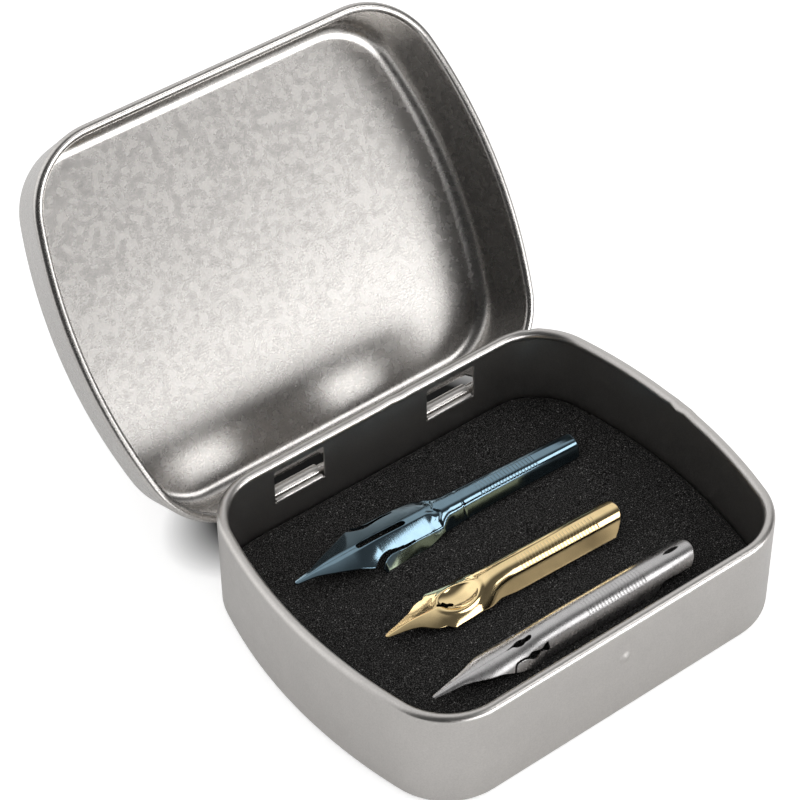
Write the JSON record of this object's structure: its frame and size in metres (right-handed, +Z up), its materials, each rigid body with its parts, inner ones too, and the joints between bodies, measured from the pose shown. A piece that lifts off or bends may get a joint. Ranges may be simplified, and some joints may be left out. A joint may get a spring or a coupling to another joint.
{
  "type": "hinged tin box",
  "caption": "Hinged tin box with bowed ends, standing open, with a foam bed that holds loose dip pen nibs.",
  "frame": {"origin": "centre of the tin's flat underside", "axes": "+X along the tin's length, +Y towards the hinge, +Z up"},
  "size_m": [0.064, 0.0859, 0.0476],
  "materials": {
    "tinplate": "satin",
    "foam": "matte open-cell foam",
    "blued_steel": "polished blue",
    "gilt_brass": "polished",
    "plain_steel": "polished"
  },
  "bodies": {
    "base": {"base_shell": "tinplate", "foam_pad": "foam"},
    "lid": {"lid_shell": "tinplate"},
    "blue_nib": {"nib_blue": "blued_steel"},
    "gold_nib": {"nib_gold": "gilt_brass"},
    "grey_nib": {"nib_grey": "plain_steel"}
  },
  "joints": [
    {"name": "lid_hinge", "type": "hinge", "parent": "base", "child": "lid", "pos_m": [0, 0.02495, 0.00685], "axis": [1, 0, 0], "range_deg": [0, 127.2]},
    {"name": "blue_nib_lift", "type": "slide", "parent": "base", "child": "blue_nib", "axis": [0, 0, 1], "range_m": [0, 0.009]},
    {"name": "gold_nib_lift", "type": "slide", "parent": "base", "child": "gold_nib", "axis": [0, 0, 1], "range_m": [0, 0.009]},
    {"name": "grey_nib_lift", "type": "slide", "parent": "base", "child": "grey_nib", "axis": [0, 0, 1], "range_m": [0, 0.009]}
  ]
}
